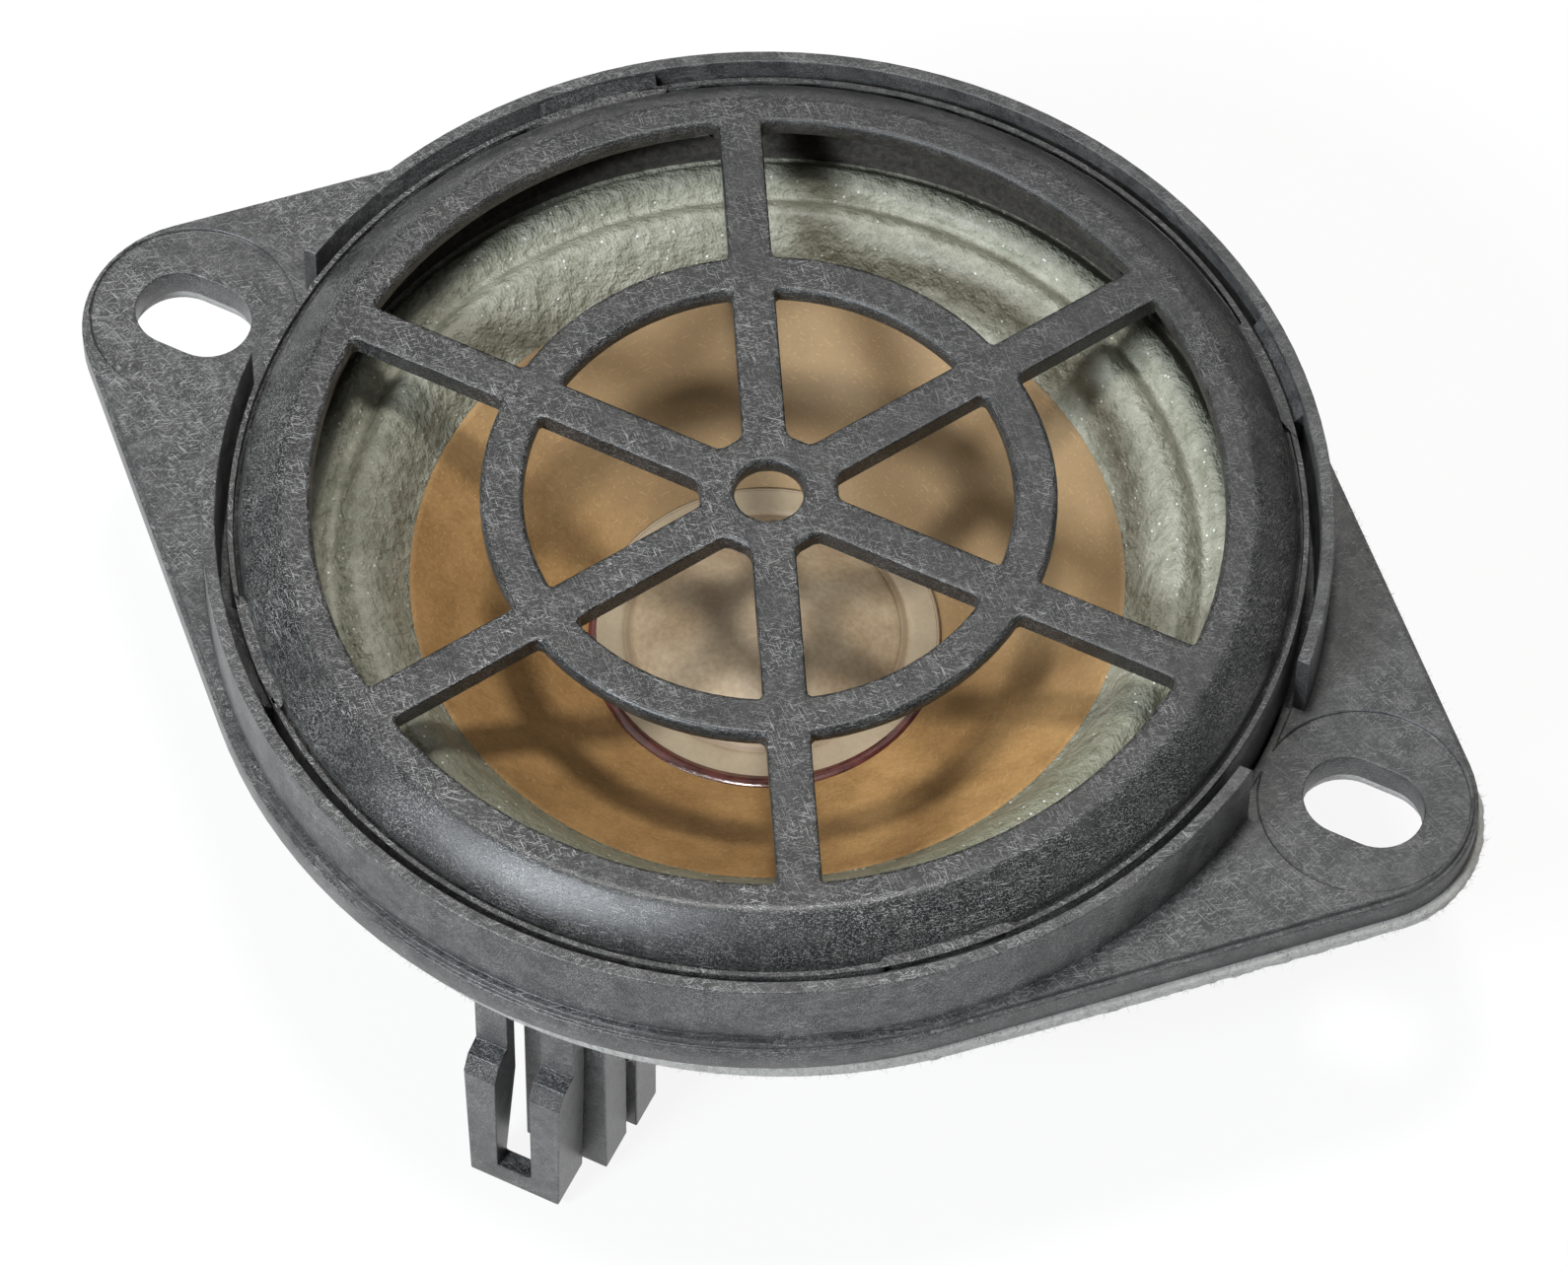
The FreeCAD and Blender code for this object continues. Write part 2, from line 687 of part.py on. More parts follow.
def lead_points(side):
    x = terminal_x(side)
    start_y = coil_solder_outer_y(side)
    places = [(start_y, coil_solder_z), (start_y - lead_first_run, coil_solder_z),
              (lead_wave_y, lead_z + lead_wave_rise), (lug_end_y + lead_last_run, lead_z), (lug_end_y, lead_z)]
    return [FreeCAD.Vector(x, y, z) for y, z in places]


def rounded_path(points):
    """Straight runs joined by tangent arcs that use 0.45 of the shorter run at each bend."""
    edges = []
    last = points[0]
    for before, here, after in zip(points, points[1:], points[2:]):
        back = before - here
        ahead = after - here
        reach = 0.45 * min(back.Length, ahead.Length)
        back.normalize()
        ahead.normalize()
        half_turn = (math.pi - back.getAngle(ahead)) / 2
        bend_r = reach / math.tan(half_turn)
        inward = back + ahead
        inward.normalize()
        start = here + back * reach
        end = here + ahead * reach
        crest = here + inward * (bend_r / math.cos(half_turn) - bend_r)
        edges += [line_edge(last, start), arc_edge(start, crest, end)]
        last = end
    edges.append(line_edge(last, points[-1]))
    return Part.Wire(edges)


def lead(side):
    points = lead_points(side)
    path = rounded_path(points)
    section = Part.Wire(Part.makeCircle(lead_r, points[0], points[1] - points[0]))
    tube = path.makePipeShell([section], True, True)
    print("lead volume", round(tube.Volume, 3), "against section times length",
          round(math.pi * lead_r ** 2 * path.Length, 3))
    return tube


def write_node(name, shape):
    if not shape.isValid():
        raise ValueError(name + " isn't a valid shape")
    shape.exportStep("parts/%s.step" % name)
    box = shape.BoundBox
    print("%-18s solids %d  volume %.2f  z %.2f to %.2f" % (name, len(shape.Solids), shape.Volume,
                                                         box.ZMin, box.ZMax))


os.makedirs("parts", exist_ok=True)
write_node("basket", basket())
write_node("grille", grille())
write_node("mounting_gasket", mounting_gasket())
write_node("surround", surround())
write_node("clamp_ring", clamp_ring())
write_node("cone", cone())
write_node("dust_cap", dust_cap())
write_node("cap_adhesive", cap_adhesive())
write_node("coil_former", coil_former())
write_node("coil_winding", coil_winding())
write_node("coil_band", coil_band())
write_node("spider", spider())
write_node("spider_ring", spider_ring())
write_node("pole_plate", pole_plate())
write_node("magnet", magnet())
write_node("yoke_cup", yoke_cup())
for sign, side in (("positive", 1), ("negative", -1)):
    write_node("terminal_" + sign, terminal_solid(side))
    write_node("lead_" + sign, lead(side))
write_node("coil_solder", Part.makeCompound([coil_solder(side) for side in (1, -1)]))
write_node("lug_solder", Part.makeCompound([lug_solder(side) for side in (1, -1)]))
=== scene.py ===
import math
import bmesh
import bpy
import numpy as np
from mathutils import Matrix, Vector


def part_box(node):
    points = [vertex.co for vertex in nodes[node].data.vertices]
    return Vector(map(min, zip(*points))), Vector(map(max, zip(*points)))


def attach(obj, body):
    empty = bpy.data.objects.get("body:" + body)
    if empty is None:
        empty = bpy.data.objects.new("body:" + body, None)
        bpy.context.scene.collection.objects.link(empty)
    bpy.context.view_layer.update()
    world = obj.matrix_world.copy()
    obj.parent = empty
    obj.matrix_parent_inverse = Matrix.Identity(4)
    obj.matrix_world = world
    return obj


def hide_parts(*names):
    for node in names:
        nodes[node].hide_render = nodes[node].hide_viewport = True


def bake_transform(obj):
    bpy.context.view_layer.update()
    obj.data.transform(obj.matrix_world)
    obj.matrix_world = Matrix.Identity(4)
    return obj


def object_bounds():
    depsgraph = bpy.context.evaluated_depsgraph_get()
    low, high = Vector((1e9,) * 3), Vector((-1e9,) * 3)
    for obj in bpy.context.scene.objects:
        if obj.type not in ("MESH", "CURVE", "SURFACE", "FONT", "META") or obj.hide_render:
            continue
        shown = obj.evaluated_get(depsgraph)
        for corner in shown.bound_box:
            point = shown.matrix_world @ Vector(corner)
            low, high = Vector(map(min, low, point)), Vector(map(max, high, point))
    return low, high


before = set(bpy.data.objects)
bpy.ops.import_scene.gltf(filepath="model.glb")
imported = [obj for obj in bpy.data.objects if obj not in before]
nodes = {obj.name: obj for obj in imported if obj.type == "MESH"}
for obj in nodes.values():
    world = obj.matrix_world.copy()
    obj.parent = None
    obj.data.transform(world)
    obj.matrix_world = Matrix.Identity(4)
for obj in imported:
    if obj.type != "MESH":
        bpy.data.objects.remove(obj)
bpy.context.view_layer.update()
mm = 0.001
print("frame loaded", len(nodes), "nodes")


# Shader maths: an expression on wires adds the Math nodes
class Wire:
    def __init__(self, shader, socket):
        self.shader = shader
        self.socket = socket

    def math(self, operation, other=None, flip=False):
        pair = [self] if other is None else [other, self] if flip else [self, other]
        return self.shader.make("Math", {"operation": operation}, dict(enumerate(pair)))

    def __add__(self, other):
        return self.math("ADD", other)

    def __sub__(self, other):
        return self.math("SUBTRACT", other)

    def __mul__(self, other):
        return self.math("MULTIPLY", other)

    def __rsub__(self, other):
        return self.math("SUBTRACT", other, flip=True)

    __radd__ = __add__
    __rmul__ = __mul__

    def top(self, other):
        return self.math("MAXIMUM", other)

    def sine(self):
        return self.math("SINE")

    def step(self, low, high):  # smooth rise from 0 at low to 1 at high
        return self.shader.make("MapRange", {"interpolation_type": "SMOOTHSTEP"},
                                {"Value": self, "From Min": low, "From Max": high})


class Shader:
    def __init__(self, name, world=False):
        self.owner = (bpy.data.worlds if world else bpy.data.materials).new(name)
        self.owner.use_nodes = True
        self.tree = self.owner.node_tree
        self.tree.nodes.clear()
        self.output = self.make("OutputWorld" if world else "OutputMaterial", {}, {}, out=None)
        self.place = None if world else self.make("TexCoord", {}, {}, out="Object")

    def make(self, kind, settings, inputs, out=0):
        node = self.tree.nodes.new("ShaderNode" + kind)
        for key, value in settings.items():
            setattr(node, key, value)
        for key, value in inputs.items():
            socket = node.inputs[key]
            if isinstance(value, Wire):
                self.tree.links.new(value.socket, socket)
            elif isinstance(value, tuple) and len(socket.default_value) == 4:
                socket.default_value = (*value, 1)
            else:
                socket.default_value = value
        return node if out is None else Wire(self, node.outputs[out])

    def noise(self, size, detail, rough):
        return self.make("TexNoise", {}, {"Vector": self.place, "Scale": 1 / size, "Detail": detail,
                                          "Roughness": rough})

    def cells(self, size):
        return self.make("TexVoronoi", {}, {"Vector": self.place, "Scale": 1 / size})

    def mapped(self, turn, scale, shift=(0, 0, 0)):
        return self.make("Mapping", {"vector_type": "TEXTURE"},
                         {"Vector": self.place, "Rotation": turn, "Scale": scale, "Location": shift})

    def dashes(self, length, width, turns, size=0.2):
        # short straight marks: cells stretched along several directions, each with an ellipse at its middle
        marks = None
        for i, turn in enumerate(turns):
            at = self.mapped(turn, (length, width, width), (0.013 * i, 0.007 * i, 0.003))
            one = 1 - self.make("TexVoronoi", {}, {"Vector": at, "Scale": 1.0}).step(size * 0.5, size)
            marks = one if marks is None else marks.top(one)
        return marks

    def streaks(self, length, width, turns, low, high):
        # dense fine marks: noise stretched along several directions and cut off below a level
        marks = None
        for i, turn in enumerate(turns):
            at = self.mapped(turn, (length, width, width), (0.013 * i, 0.007 * i, 0.003))
            one = self.make("TexNoise", {}, {"Vector": at, "Scale": 1.0, "Detail": 0.0}).step(low, high)
            marks = one if marks is None else marks.top(one)
        return marks

    def axes(self):
        parts = self.make("SeparateXYZ", {}, {0: self.place}, out=None)
        return [Wire(self, socket) for socket in parts.outputs]

    def mix(self, factor, a, b):
        return self.make("Mix", {"data_type": "RGBA"}, {0: factor, 6: a, 7: b}, out=2)

    def bump(self, height, distance, strength=1.0, under=None):
        inputs = {"Height": height, "Distance": distance, "Strength": strength}
        if under is not None:
            inputs["Normal"] = under
        return self.make("Bump", {}, inputs)

    def surface(self, inputs):
        return self.finish(self.make("BsdfPrincipled", {}, inputs))

    def finish(self, shaded):
        self.tree.links.new(shaded.socket, self.output.inputs[0])
        return self.owner


def dress(name, material):
    # a carried-over CAD node gets its finish in its own material slot
    obj = nodes[name]
    obj.data.materials.clear()
    obj.data.materials.append(material)
    return obj


def softenEdges(obj, width, angle=30, segments=2):
    # weld the loose triangles, then round every edge sharper than the angle a little
    weld = obj.modifiers.new("weld", "WELD")
    weld.merge_threshold = 1e-6
    bevel = obj.modifiers.new("edges", "BEVEL")
    bevel.width = width
    bevel.segments = segments
    bevel.limit_method = "ANGLE"
    bevel.angle_limit = math.radians(angle)
    bevel.use_clamp_overlap = False
    bevel.harden_normals = True
    bevel.miter_outer = "MITER_ARC"


# Surfaces on a grid
def gridObject(name, points, wrapU=False, wrapV=False, material=None):
    # points is an array of rows by columns by 3; each cell becomes one quad, and wrapped sides are joined
    rows, cols = points.shape[:2]
    nu = rows if wrapU else rows - 1
    nv = cols if wrapV else cols - 1
    u, v = np.meshgrid(np.arange(nu), np.arange(nv), indexing="ij")
    u1, v1 = (u + 1) % rows, (v + 1) % cols
    faces = np.stack([u * cols + v, u1 * cols + v, u1 * cols + v1, u * cols + v1], -1).reshape(-1, 4)
    mesh = bpy.data.meshes.new(name)
    mesh.from_pydata(points.reshape(-1, 3).tolist(), [], faces.tolist())
    mesh.validate()
    tidy = bmesh.new()
    tidy.from_mesh(mesh)
    bmesh.ops.remove_doubles(tidy, verts=tidy.verts, dist=1e-7)
    bmesh.ops.recalc_face_normals(tidy, faces=tidy.faces)
    tidy.to_mesh(mesh)
    tidy.free()
    mesh.shade_smooth()
    obj = bpy.data.objects.new(name, mesh)
    bpy.context.scene.collection.objects.link(obj)
    if material:
        mesh.materials.append(material)
    return obj


def lathe(name, radius, height, material, steps):
    # a profile given as radius and height per point (and, if 2-D, per angle), turned once round Z
    angle = np.linspace(0, 2 * np.pi, steps, endpoint=False)
    radius = np.broadcast_to(radius if radius.ndim == 2 else radius[:, None], (len(radius), steps))
    height = np.broadcast_to(height if height.ndim == 2 else height[:, None], (len(height), steps))
    points = np.stack([radius * np.cos(angle), radius * np.sin(angle), height], -1)
    return gridObject(name, points, wrapU=True, wrapV=True, material=material)


def closeEnds(obj):
    # flat faces over the open ends of a tube
    filled = bmesh.new()
    filled.from_mesh(obj.data)
    for face in bmesh.ops.holes_fill(filled, edges=filled.edges)["faces"]:
        face.smooth = False
    bmesh.ops.recalc_face_normals(filled, faces=filled.faces)
    filled.to_mesh(obj.data)
    filled.free()


def ripple(angle, terms):
    # a sum of slow waves round the circle: (count, size, phase) each
    return sum(size * np.sin(count * angle + phase) for count, size, phase in terms)


def closedSkin(topR, topZ, thickness):
    # the top line out and the same line, lowered by the thickness, back
    return np.concatenate([topR, topR[::-1]]), np.concatenate([topZ, topZ[::-1] - thickness])


# Moulded plastic with short glass fibres
plasticLook = dict(dark=(0.005, 0.0055, 0.0065), pale=(0.030, 0.0305, 0.029), fibre=(0.42, 0.42, 0.41),
                   fibreLength=0.95 * mm, fibreWidth=0.06 * mm, fibreLow=0.68, fibreHigh=0.74,
                   cloud=1.6 * mm, patch=5 * mm, grit=0.10 * mm, relief=0.035 * mm, rough=0.18,
                   shadeAndDullFrom=-22 * mm, shadeAndDullTo=34 * mm, edge=0.42 * mm)


def filledPlastic(name, look, seed=0.0):
    m = Shader(name)
    cloud = m.noise(look["cloud"], 6, 0.68)
    fine = m.noise(look["grit"] * 2.2, 4, 0.75)
    turns = [(0.1, 0.0, 0.2 + seed), (0.35, 0.1, 0.8 + seed), (0.0, 0.3, 1.45 + seed),
             (0.2, 0.0, 2.4 + seed)]
    fibres = m.streaks(look["fibreLength"], look["fibreWidth"], turns, look["fibreLow"], look["fibreHigh"])
    x, y = m.axes()[:2]
    farShadeAndDull = (y * 0.8 + x * 0.5).step(look["shadeAndDullFrom"], look["shadeAndDullTo"])  # the far right side is rougher, and its pale fibre marks thin out there as painted shade
    patch = m.noise(look["patch"], 3, 0.55).step(0.32, 0.68)
    # painted shade: fewer pale fibre marks towards the far right side
    marks = fibres * (patch * 0.65 + 0.35) * (1 - farShadeAndDull * 0.55)
    body = m.mix(cloud.step(0.4, 0.62) * 0.65 + fine.step(0.35, 0.68) * 0.35, look["dark"], look["pale"])
    colour = m.mix(marks * 0.8, body, look["fibre"])
    grit = m.noise(look["grit"], 3, 0.65)
    normal = m.bump(grit * 0.5 + fine * 0.5 + marks * 0.9, look["relief"], 0.8)
    rough = look["rough"] + cloud * 0.16 + grit * 0.1 - marks * 0.08 + farShadeAndDull * 0.16
    return m.surface({"Base Color": colour, "Roughness": rough, "Normal": normal,
                      "Specular IOR Level": 0.6})


grilleMade = dress("grille", filledPlastic("grillePlastic", plasticLook))
softenEdges(grilleMade, plasticLook["edge"])
# painted light: the basket's copy of the plastic is paler than the grille's, standing in for the brighter
# light on the basket's walls
litBasketLook = dict(plasticLook, dark=(0.015, 0.0155, 0.017), pale=(0.066, 0.066, 0.065),
                  edge=0.12 * mm)  # under half the step round the slots
basketMade = dress("basket", filledPlastic("basketPlastic", litBasketLook, 0.4))
softenEdges(basketMade, litBasketLook["edge"])
print("moulded parts dressed")


# Coated cloth surround
clothLook = dict(shade=(0.18, 0.185, 0.13), lit=(0.43, 0.43, 0.355), paintedSparkle=(0.62, 0.60, 0.44),
                 paintedNearShade=(0.15, 0.145, 0.085), paintedNearShadeTo=-27 * mm, paintedNearShadeFrom=-5 * mm, glint=(0.93, 0.94, 0.90),
                 thread=0.34 * mm, wobble=1.5 * mm, blotch=2.2 * mm, lump=0.9 * mm, grain=0.14 * mm,
                 bead=0.75 * mm, beadPatch=1.3 * mm, paintedSparkleSize=0.1 * mm, lumpRelief=0.7 * mm,
                 relief=0.07 * mm)


def coatedCloth(look):
    m = Shader("coatedCloth")
    x, y = m.axes()[:2]
    wobble = m.noise(look["wobble"], 2, 0.5) * (0.5 * look["thread"])
    turn = 2 * math.pi / look["thread"]
    weave = ((x + wobble) * turn).sine() * ((y + wobble) * turn).sine()
    blotch = m.noise(look["blotch"], 5, 0.65)
    lump = m.noise(look["lump"], 3, 0.6)
    grain = m.noise(look["grain"], 3, 0.7)
    body = m.mix(blotch.step(0.32, 0.7) * 0.5 + lump.step(0.35, 0.68) * 0.25 + grain.step(0.3, 0.7) * 0.25,
                 look["shade"], look["lit"])
    # painted shade: the near side of the cloth is mixed towards a dark olive, standing in for the shade it
    # lies in
    near = 1 - (y - x * 0.5).step(look["paintedNearShadeTo"], look["paintedNearShadeFrom"])
    body = m.mix(near * 0.6, body, look["paintedNearShade"])
    beads = m.cells(look["bead"])
    glint = (1 - beads.step(0.07, 0.17)) * m.noise(look["beadPatch"], 2, 0.6).step(0.44, 0.52)
    # painted glints: fine pale yellow specks standing in for the sparkle of the coating's grains
    paintedSparkle = m.noise(look["paintedSparkleSize"], 2, 0.5).step(0.6, 0.7)
    colour = m.mix(paintedSparkle * 0.3, body, look["paintedSparkle"])
    colour = m.mix(glint * 0.9, colour, look["glint"])
    low = m.bump(lump, look["lumpRelief"], 0.8)
    normal = m.bump(weave * 0.15 + grain * 0.9 + glint * 0.6, look["relief"], 0.85, low)
    rough = 0.6 - glint * 0.45 - blotch.step(0.45, 0.7) * 0.15
    return m.surface({"Base Color": colour, "Roughness": rough, "Normal": normal, "Coat Weight": 0.25,
                      "Coat Roughness": 0.35})


surroundSize = dict(outR=35.8 * mm, landingR=33.6 * mm, lapR=25.0 * mm, landingZ=2.0 * mm, coneZ=0.0,
                    thick=0.35 * mm, feather=0.8 * mm, calm=2 * mm, steps=480,
                    waves=[(7, 0.05 * mm, 0.4), (13, 0.03 * mm, 2.1), (31, 0.012 * mm, 1.3)],
                    rolls=[(33.6, 2.0), (33.3, 2.55), (32.75, 3.1), (32.1, 3.25), (31.5, 3.0),
                           (31.05, 2.6), (30.75, 2.25), (30.45, 2.1), (30.15, 2.2), (29.8, 2.6),
                           (29.35, 3.05), (28.7, 3.35), (27.9, 3.1), (27.1, 2.45), (26.4, 1.6),
                           (25.85, 0.75), (25.5, 0.28), (25.25, 0.05)])  # radius and height in mm


def smoothLine(points, count):
    # a curve that passes through every point, turning smoothly from one to the next
    p = np.array([points[0], *points, points[-1]], float)
    t = np.linspace(0, 1, count, endpoint=False)[:, None]
    runs = [0.5 * (2 * b + (c - a) * t + (2 * a - 5 * b + 4 * c - d) * t**2
                   + (3 * b - a - 3 * c + d) * t**3)
            for a, b, c, d in zip(p, p[1:], p[2:], p[3:])]
    return np.concatenate([*runs, p[-1:]])


def surroundLine(s):
    # the flat landing, the narrow outer roll, the valley and the wide inner roll that ends on the cone,
    # and the cloth's thickness at each point
    rolls = smoothLine(s["rolls"], 5) * mm
    r = np.concatenate([np.linspace(s["outR"], s["landingR"], 8)[:-1], rolls[:, 0], [s["lapR"]]])
    z = np.concatenate([np.full(7, s["landingZ"]), rolls[:, 1], [s["coneZ"]]])
    cover = s["thick"] * np.clip((r - s["lapR"]) / s["feather"], 0.15, 1)  # thin on the cone
    return r, z, cover


def makeSurround(s):
    lineR, lineZ, cover = surroundLine(s)
    top = lineZ + cover
    under = top - cover * 0.97
    r, z = np.concatenate([lineR, lineR[::-1]]), np.concatenate([top, under[::-1]])
    angle = np.linspace(0, 2 * np.pi, s["steps"], endpoint=False)
    inwards = np.clip((s["landingR"] - r) / (s["calm"] / 2), 0, 1)
    onRolls = np.clip((r - s["lapR"]) / s["calm"] - 0.5, 0, 1) * inwards
    z = z[:, None] + onRolls[:, None] * ripple(angle, s["waves"])
    return lathe("surround_cloth", r, z, coatedCloth(clothLook), s["steps"])


surround = makeSurround(surroundSize)
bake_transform(surround)
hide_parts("surround")
print("surround made")


# Paper cone
paperLook = dict(dark=(0.23, 0.12, 0.036), pale=(0.44, 0.255, 0.095), fleck=(0.60, 0.41, 0.20),
                 paintedFarShade=(0.27, 0.19, 0.10), paintedFarShadeFrom=-6 * mm, paintedFarShadeTo=12 * mm, cloud=4 * mm, pulp=0.35 * mm,
                 hairLength=3 * mm, hairWidth=0.4 * mm, relief=0.05 * mm)
coneSize = dict(outR=25.9 * mm, inR=24.8 * mm, neckR=10.15 * mm, topZ=0.0, neckZ=-9.3 * mm,
                thick=0.4 * mm, rows=60, steps=360)


def conePaper(look):
    m = Shader("conePaper")
    cloud = m.noise(look["cloud"], 5, 0.6)
    pulp = m.noise(look["pulp"], 5, 0.75)
    turns = [(0, 0.3, 0.2), (0.3, 0, 1.0), (0, 0.3, 1.9), (0.3, 0, 2.6)]
    hairs = m.dashes(look["hairLength"], look["hairWidth"], turns)
    body = m.mix(cloud.step(0.3, 0.7) * 0.55 + pulp.step(0.3, 0.7) * 0.45, look["dark"], look["pale"])
    y = m.axes()[1]
    # painted shade: towards the far side the paper is mixed towards a darker, duller brown, standing in for
    # the shade on that side
    body = m.mix(y.step(look["paintedFarShadeFrom"], look["paintedFarShadeTo"]) * 0.7, body, look["paintedFarShade"])
    colour = m.mix(hairs * 0.22, body, look["fleck"])
    normal = m.bump(pulp + hairs * 0.3, look["relief"], 0.7)
    return m.surface({"Base Color": colour, "Roughness": 0.55 + pulp * 0.2, "Normal": normal})


def makeCone(s):
    # a flat rim, then a nearly straight flank down to the neck
    t = np.linspace(0, 1, s["rows"])
    flankR = s["inR"] + (s["neckR"] - s["inR"]) * t
    flankZ = s["topZ"] + (s["neckZ"] - s["topZ"]) * t
    topR = np.concatenate([[s["outR"]], flankR])
    topZ = np.concatenate([[s["topZ"]], flankZ])
    r, z = closedSkin(topR, topZ, s["thick"])
    return lathe("paper_cone", r, z, conePaper(paperLook), s["steps"])


cone = makeCone(coneSize)
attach(cone, "voice_coil")
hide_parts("cone")
print("cone made")


# Dust cap and its ring of glue
capSize = dict(r=12.3 * mm, domeR=9.8 * mm, domeH=2.5 * mm, groove=0.22 * mm, grooveHalf=0.3 * mm,
               thick=0.25 * mm, inset=0.02 * mm, z=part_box("dust_cap")[0][2], rows=60, steps=240)
capLook = dict(dark=(0.26, 0.18, 0.10), pale=(0.43, 0.335, 0.22), brim=(0.29, 0.235, 0.155),
               crease=(0.17, 0.11, 0.06), creaseFrom=0.05 * mm, creaseTo=0.45 * mm, brimSoft=0.6 * mm,
               cloud=3.5 * mm, pulp=0.4 * mm, relief=0.012 * mm)


def capBoard(look, domeR):
    m = Shader("capBoard")
    x, y = m.axes()[:2]
    fromAxis = (x * x + y * y).math("SQRT")
    crease = 1 - (fromAxis - domeR).math("ABSOLUTE").step(look["creaseFrom"], look["creaseTo"])
    brim = fromAxis.step(domeR, domeR + look["brimSoft"])
    cloud = m.noise(look["cloud"], 4, 0.55)
    pulp = m.noise(look["pulp"], 4, 0.7)
    board = cloud.step(0.3, 0.7) * 0.6 + pulp.step(0.35, 0.65) * 0.4
    colour = m.mix(board, look["dark"], look["pale"])
    colour = m.mix(brim * 0.6, colour, look["brim"])
    # painted shade: a dark ring along the crease between brim and dome
    colour = m.mix(crease * 0.75, colour, look["crease"])
    normal = m.bump(pulp, look["relief"], 0.4)
    return m.surface({"Base Color": colour, "Roughness": 0.5 + pulp * 0.12, "Normal": normal,
                      "Coat Weight": 0.2, "Coat Roughness": 0.3})


def makeCap(s):
    # a flat brim and a shallow sphere cap with a soft crease between them
    sphereR = (s["domeR"] ** 2 + s["domeH"] ** 2) / (2 * s["domeH"])
    domeR = np.linspace(s["domeR"], 0, s["rows"])
    domeZ = s["z"] + s["domeH"] - sphereR + np.sqrt(sphereR**2 - domeR**2)
    brimR = np.linspace(s["r"], s["domeR"], 14)[:-1]
    topR = np.concatenate([brimR, domeR])
    topZ = np.concatenate([np.full(len(brimR), s["z"]), domeZ])
    topZ += s["thick"] - s["groove"] * np.exp(-(((topR - s["domeR"]) / s["grooveHalf"]) ** 2))
    under = np.linspace(0, s["r"], 8)[:-1]
    r = np.concatenate([topR, under])
    z = np.concatenate([topZ, np.interp(under, domeR[::-1], domeZ[::-1]) - s["inset"]])
    return lathe("dust_cap_dome", r, z, capBoard(capLook, s["domeR"]), s["steps"])


cap = makeCap(capSize)
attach(cap, "voice_coil")
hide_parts("dust_cap")

glueSize = dict(inR=12.28 * mm, lap=0.25 * mm, width=0.05 * mm, extra=0.8 * mm, rise=0.06 * mm,
                extraRise=0.36 * mm, lift=0.02 * mm, sink=0.01 * mm, rows=14, steps=360,
                waves=[(7, 0.012 * mm, 1.7), (19, 0.006 * mm, 0.9)])
glueLook = dict(dark=(0.045, 0.008, 0.006), pale=(0.11, 0.028, 0.02), cloud=1.5 * mm, dimple=0.8 * mm,
                relief=0.05 * mm)


def rubberCement(look):
    m = Shader("rubberCement")
    cloud = m.noise(look["cloud"], 3, 0.5)
    colour = m.mix(cloud.step(0.3, 0.7), look["dark"], look["pale"])
    normal = m.bump(m.noise(look["dimple"], 2, 0.5), look["relief"], 0.6)
    return m.surface({"Base Color": colour, "Roughness": 0.16 + cloud * 0.14, "Coat Weight": 0.4,
                      "Coat Roughness": 0.08, "Normal": normal})


def makeGlue(g, c):
    # a bead on the cone's slope, thin on the far side and fuller on the near side
    angle = np.linspace(0, 2 * np.pi, g["steps"], endpoint=False)
    near = (0.5 - 0.5 * np.sin(angle - 0.2)) ** 2.5
    width = g["width"] + g["extra"] * near + ripple(angle, g["waves"])
    rise = g["rise"] + g["extraRise"] * near
    slope = (c["topZ"] - c["neckZ"]) / (c["inR"] - c["neckR"])
    t = np.linspace(0, 1, g["rows"])[:, None]
    overR = g["inR"] - g["lap"] + (width + g["lap"]) * t
    coneZ = c["topZ"] - (c["inR"] - overR) * slope
    crest = capSize["z"] + capSize["thick"]
    overZ = np.maximum(coneZ, crest * (1 - t) + coneZ * t) + rise * np.sin(np.pi * t) * 0.8 + g["lift"]
    underZ = np.where(overR < capSize["r"], crest - g["lift"], coneZ + g["sink"])
    r = np.concatenate([overR, overR[::-1]])
    z = np.concatenate([overZ, underZ[::-1]])
    return lathe("cap_glue_bead", r, z, rubberCement(glueLook), g["steps"])


glue = makeGlue(glueSize, coneSize)
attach(glue, "voice_coil")
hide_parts("cap_adhesive")
print("cap and glue made")


# Felt gasket
gasketSize = dict(flangeR=40.0 * mm, earR=8.8 * mm, earX=44.4 * mm, over=-0.15 * mm, driftX=0.75 * mm,
                  driftY=0.3 * mm, thick=1.2 * mm, inR=38.09 * mm, rag=0.09 * mm, slotX=45.4 * mm,
                  slotLength=8.5 * mm, slotWidth=6.2 * mm, slotGrow=0.4 * mm, slotRows=24, steps=2400,
                  side=[(0, 0), (0.5, 0), (0.97, 0), (0.995, -0.15), (1, -0.35), (1, -0.65), (0.995, -0.85),
                        (0.97, -1), (0.5, -1), (0, -1)])  # shares of the width and of the thickness
fuzzSize = dict(count=2600, reach=(0.15, 0.55), r=0.018 * mm, root=0.1 * mm, under=0.02 * mm)  # reach in mm
feltLook = dict(dark=(0.27, 0.265, 0.25), pale=(0.55, 0.545, 0.515), hair=(0.70, 0.70, 0.66),
                wool=0.3 * mm, cloud=3 * mm, hairLength=4 * mm, hairWidth=0.4 * mm, relief=0.12 * mm)


def feltMaterial(look):
    m = Shader("needledFelt")
    wool = m.noise(look["wool"], 5, 0.8)
    cloud = m.noise(look["cloud"], 3, 0.5)
    turns = [(0.3, 0, 0.4), (0, 0.4, 1.5), (0.2, 0.2, 2.5)]
    hairs = m.dashes(look["hairLength"], look["hairWidth"], turns)
    colour = m.mix(wool.step(0.3, 0.7) * 0.6 + cloud * 0.3, look["dark"], look["pale"])
    colour = m.mix(hairs * 0.5, colour, look["hair"])
    normal = m.bump(wool + hairs, look["relief"], 1.0)
    return m.surface({"Base Color": colour, "Roughness": 0.95, "Normal": normal, "Sheen Weight": 0.3,
                      "Sheen Roughness": 0.6})


